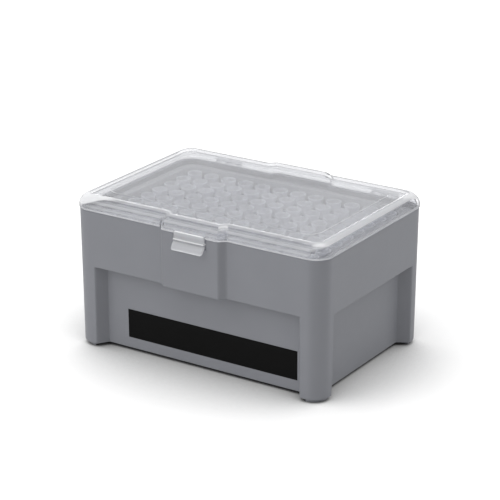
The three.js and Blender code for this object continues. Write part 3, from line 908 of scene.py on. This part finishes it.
    near_side = n.add("BsdfDiffuse", Color=VEIL_COLOUR)
    far_side = n.add("BsdfTranslucent", Color=VEIL_COLOUR)
    film = n.add("BsdfGlossy", Roughness=FILM_ROUGHNESS, Color=FILM_COLOUR)
    sides = near_side.outputs["BSDF"], far_side.outputs["BSDF"]
    shown = n.mix(milk, through.outputs["BSDF"], n.mix(PASSED_ON, *sides))
    shown = n.mix(shine, shown, n.mix(SHINE_PASSED_ON, *sides))
    shown = n.mix(mirror, shown, film.outputs["BSDF"])
    n.join(shown, n.output.inputs["Surface"])
    return n.owner


LIT_WITHIN = 0.6  # share of a tip's light that comes through it


def translucent_plastic(name, colour, roughness):
    """Natural, milky plastic in a thin wall, which light passes into."""
    n = Nodes(bpy.data.materials.new(name))
    shader = n.add("BsdfPrincipled", Roughness=roughness, IOR=PLASTIC_IOR, Specular_IOR_Level=0.25)
    within = n.add("BsdfTranslucent")
    where = n.add("TexCoord")
    cloud = n.add("TexNoise", Scale=0.25 / MM, Detail=2.0, Roughness=0.5)
    n.join(where.outputs["Object"], cloud.inputs["Vector"])
    tint = n.add("MixRGB", blend_type="MULTIPLY", Fac=1.0, Color1=colour)
    n.join(n.mapped(cloud.outputs["Fac"], 0.3, 0.7, 0.95, 1.05), tint.inputs["Color2"])
    n.join(tint.outputs["Color"], shader.inputs["Base Color"])
    n.join(n.mapped(cloud.outputs["Fac"], 0.3, 0.7, roughness - 0.05, roughness + 0.05),
           shader.inputs["Roughness"])
    n.join(tint.outputs["Color"], within.inputs["Color"])
    shown = n.mix(LIT_WITHIN, shader.outputs["BSDF"], within.outputs["BSDF"])
    n.join(shown, n.output.inputs["Surface"])
    return n.owner


def wear(piece, material):
    """Gives a piece its material, and shades it."""
    piece.data.materials.clear()
    piece.data.materials.append(material)
    flatten_normals(piece)


# ---- Assembly ------------------------------------------------------------------------------

# The base's upright corners carry a painted shade, down to 0.92 of its colour.
base_material = moulded("base_plastic", srgb(133, 134.5, 140), 0.5, bend=0.92)
deck_material = moulded("deck_plastic", srgb(158, 159, 163), 0.6, specular=0.2)
tip_material = translucent_plastic("tip_plastic", srgb(226, 227, 231), 0.45)
print_material = moulded("band_print", srgb(14, 14, 14), 0.6, specular=0.06)
# The lid's material paints light and dark lines in its walls, highlights along its edges, its top
# crease and two corners' shoulders, a glint down the other two corners, and dark lines in what is
# seen through it.
lid_material = clear_plastic(
    "lid_plastic", veil=0.21, flat_veil=0.17, wall=0.03, streak=0.03,
    painted_bands=[
        (LID_BOTTOM + 0.4, LID_BOTTOM + 1.2, -0.08, -0.14),
        (LID_BOTTOM + 1.4, LID_BOTTOM + 2.3, 0.18, -0.14),
        (LID_BOTTOM + 2.5, LID_BOTTOM + 3.1, -0.08, 0.0),
        (LID_BOTTOM + 3.3, LID_BOTTOM + 4.3, 0.35, -0.18),
        (LID_BOTTOM + 4.6, LID_TOP - 0.1, 0.0, 0.75),
        (LID_BOTTOM + 4.6, LID_BOTTOM + 5.1, -0.18, 0.0),
        (LID_BOTTOM + 5.35, LID_TOP - 0.1, 0.3, 0.0),
    ],
    edges=[
        (LID_BOTTOM - 1.0, LID_BOTTOM + 0.3, 0.45, 0.35),
        (LID_BOTTOM + 4.9, LID_TOP - 0.3, 0.0, 0.35),
        (LID_TOP + 0.05, LID_HIGH.z - 0.05, 0.3, 0.9),
    ],
    rim=[
        (LID_BOTTOM + 0.4, LID_BOTTOM + 2.2, 0.0, 0.2),
        (LID_BOTTOM + 4.9, LID_BOTTOM + 5.4, 0.35, 0.0),
    ],
    crease_highlight=(0.45, 0.2), cap_highlight=0.75, glint=0.95,
)
# The latch's material paints a paler band on its flare, a dark line under its bead, and highlights
# along its top ledge, its bead and its bottom edge.
latch_material = clear_plastic(
    "latch_plastic", veil=0.38, flat_veil=0.38, wall=0.1, streak=0.02,
    painted_bands=[
        (LATCH_LOW.z - 1.0, LATCH_AXIS.z - 4.2, 0.12, 0.12),
        (LATCH_AXIS.z - 3.8, LATCH_AXIS.z - 3.35, -0.25, -0.25),
    ],
    edges=[
        (LATCH_AXIS.z + 0.1, LATCH_HIGH.z + 1.0, 1.0, 1.0),
        (LATCH_AXIS.z - 3.1, LATCH_AXIS.z - 2.7, 0.8, 0.8),
        (LATCH_LOW.z - 1.0, LATCH_LOW.z + 0.3, 0.6, 0.6),
    ],
)

base = make_base()
wear(base, base_material)
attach(base, "base")
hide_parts("base_box")

deck = make_deck()
wear(deck, deck_material)
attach(deck, "base")
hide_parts("tip_deck")

for number, x in enumerate(TIP_X, start=1):
    tips = make_tip_column(number, x)
    wear(tips, tip_material)
    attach(tips, "base")
    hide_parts(f"tips_column_{number:02d}")

lid = make_lid()
wear(lid, lid_material)
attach(lid, "lid")
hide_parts("lid")

latch = make_latch()
wear(latch, latch_material)
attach(latch, "latch")
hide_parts("latch")

band = make_band()
wear(band, print_material)
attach(band, "base")


# ---- Floor, lights and camera, in metres ---------------------------------------------------

FLOOR_SIZE = 6.0
FLOOR_ALBEDO = 0.76
FLOOR_GLOW = 0.4
# The floor's painted contact shadow: how far it looks for the object, in metres, and its darkest
# share.
CONTACT_REACH = 0.12
CONTACT_SHADE = 0.34


def make_floor():
    mesh = bpy.data.meshes.new("floor")
    signs = [(-1, -1), (1, -1), (1, 1), (-1, 1)]
    mesh.from_pydata([(x * FLOOR_SIZE, y * FLOOR_SIZE, 0) for x, y in signs], [], [(0, 1, 2, 3)])
    floor = new_object("floor", mesh)
    n = Nodes(bpy.data.materials.new("floor"))
    # Painted contact shadow: ambient occlusion darkens the floor round and under the object, in its
    # colour for the camera and in its glow for the camera and reflections.
    near = n.add("AmbientOcclusion", samples=12, Distance=CONTACT_REACH)
    shade = n.mapped(near.outputs["AO"], 0.35, 0.84, CONTACT_SHADE, 1.0, smooth=False)
    shade = n.math("MULTIPLY", shade, n.mapped(near.outputs["AO"], 0.1, 0.36, 0.05, 1.0))
    rays = n.add("LightPath").outputs
    unseen = n.math("SUBTRACT", 1.0, rays["Is Camera Ray"])
    albedo = n.math("MULTIPLY", n.math("MAXIMUM", shade, unseen), FLOOR_ALBEDO)
    matt = n.add("BsdfDiffuse")
    pale = n.add("CombineColor")
    for channel in ("Red", "Green", "Blue"):
        n.join(albedo, pale.inputs[channel])
    n.join(pale.outputs["Color"], matt.inputs["Color"])
    glow = n.add("Emission")
    mirrored = n.math("MAXIMUM", rays["Is Glossy Ray"], rays["Is Transmission Ray"])
    seen = n.math("MAXIMUM", rays["Is Camera Ray"], mirrored)
    n.join(n.math("MULTIPLY", n.math("MULTIPLY", seen, shade), FLOOR_GLOW), glow.inputs["Strength"])
    both = n.add("AddShader")
    n.join(matt.outputs["BSDF"], both.inputs[0])
    n.join(glow.outputs["Emission"], both.inputs[1])
    n.join(both.outputs["Shader"], n.output.inputs["Surface"])
    wear(floor, n.owner)


DIM_AZIMUTH = 68  # the room is dimmest to the right
WORLD_LEVEL = 0.74
WORLD_FADE = 0.29


def make_world():
    """White where it is seen, and a soft light on the object."""
    world = bpy.data.worlds.new("studio")
    bpy.context.scene.world = world
    n = Nodes(world, "OutputWorld")
    rays = n.add("LightPath").outputs
    seen = n.math("MAXIMUM", rays["Is Camera Ray"], rays["Is Transmission Ray"])
    seen = n.math("MAXIMUM", seen, rays["Is Glossy Ray"])
    white = n.add("Background", Color=(1, 1, 1, 1), Strength=1.0)
    soft = n.add("Background", Color=(1, 1, 1, 1))
    a = math.radians(DIM_AZIMUTH)
    towards = n.add("VectorMath", operation="DOT_PRODUCT")
    towards.inputs[1].default_value = (math.sin(a), -math.cos(a), 0)
    n.join(n.add("TexCoord").outputs["Generated"], towards.inputs[0])
    level = n.mapped(towards.outputs["Value"], -1.0, 1.0, WORLD_LEVEL + WORLD_FADE,
                     WORLD_LEVEL - WORLD_FADE, smooth=False)
    n.join(level, soft.inputs["Strength"])
    shown = n.mix(seen, soft.outputs["Background"], white.outputs["Background"])
    n.join(shown, n.output.inputs["Surface"])


LAMP_AIM = Vector((0, MIDDLE_Y * MM, 0.04))


def look_from(holder, target, azimuth, elevation, distance):
    """Stands a lamp or the camera at a distance from its target, looking at it. The azimuth runs
    from the front to the right, and both angles are in degrees."""
    a, e = math.radians(azimuth), math.radians(elevation)
    away = Vector((math.sin(a) * math.cos(e), -math.cos(a) * math.cos(e), math.sin(e)))
    holder.location = target + away * distance
    holder.rotation_euler = (-away).to_track_quat("-Z", "Y").to_euler()


def new_lamp(name, shape, size, power):
    """A lamp that the camera doesn't see."""
    lamp = bpy.data.lights.new(name, "AREA")
    lamp.shape = shape
    lamp.size = size
    lamp.energy = power
    holder = new_object(name, lamp)
    holder.visible_camera = False
    return holder


def make_lamp(name, azimuth, elevation, distance, size, power):
    """A soft round lamp that doesn't show in reflections."""
    holder = new_lamp(name, "DISK", size, power)
    holder.visible_glossy = False
    look_from(holder, LAMP_AIM, azimuth, elevation, distance)


def make_strip(name, start, end, width, power):
    """A thin lamp between two points, which draws a line of light along an edge of the lid."""
    start, end = Vector(start), Vector(end)
    holder = new_lamp(name, "RECTANGLE", (end - start).length, power)
    holder.data.size_y = width
    middle = (start + end) / 2
    back = (middle - Vector((0, MIDDLE_Y * MM, LID_TOP * MM))).normalized()
    across = back.cross((end - start).normalized()).normalized()
    along = across.cross(back)
    holder.matrix_world = Matrix((
        (along.x, across.x, back.x, middle.x),
        (along.y, across.y, back.y, middle.y),
        (along.z, across.z, back.z, middle.z),
        (0, 0, 0, 1),
    ))


CAMERA_AZIMUTH = 32.97
CAMERA_ELEVATION = 20.42
CAMERA_DISTANCE = 858.85  # in millimetres, as the target
CAMERA_TARGET = (0.216, 0.0, 41.819)
CAMERA_LENS = 145.8


def make_camera():
    camera = bpy.data.cameras.new("camera")
    camera.sensor_width = 36.0
    camera.lens = CAMERA_LENS
    holder = new_object("camera", camera)
    target = Vector(place(CAMERA_TARGET))
    look_from(holder, target, CAMERA_AZIMUTH, CAMERA_ELEVATION, CAMERA_DISTANCE * MM)
    bpy.context.scene.camera = holder


make_floor()
make_world()
make_lamp("left", -34, 35, 1.2, 0.8, 2.65)
make_lamp("right", 118, 28, 1.3, 0.8, 1.0)
make_lamp("top", 20, 78, 1.2, 1.0, 3.4)
make_strip("front_edge", (-0.84, 0.73, 0.79), (-0.54, 0.80, 0.855), 0.06, 0.6)
make_strip("side_edge", (-0.39, 0.97, 0.72), (-0.34, 1.16, 0.645), 0.06, 0.25)
make_camera()

bpy.context.scene.view_settings.view_transform = "Standard"
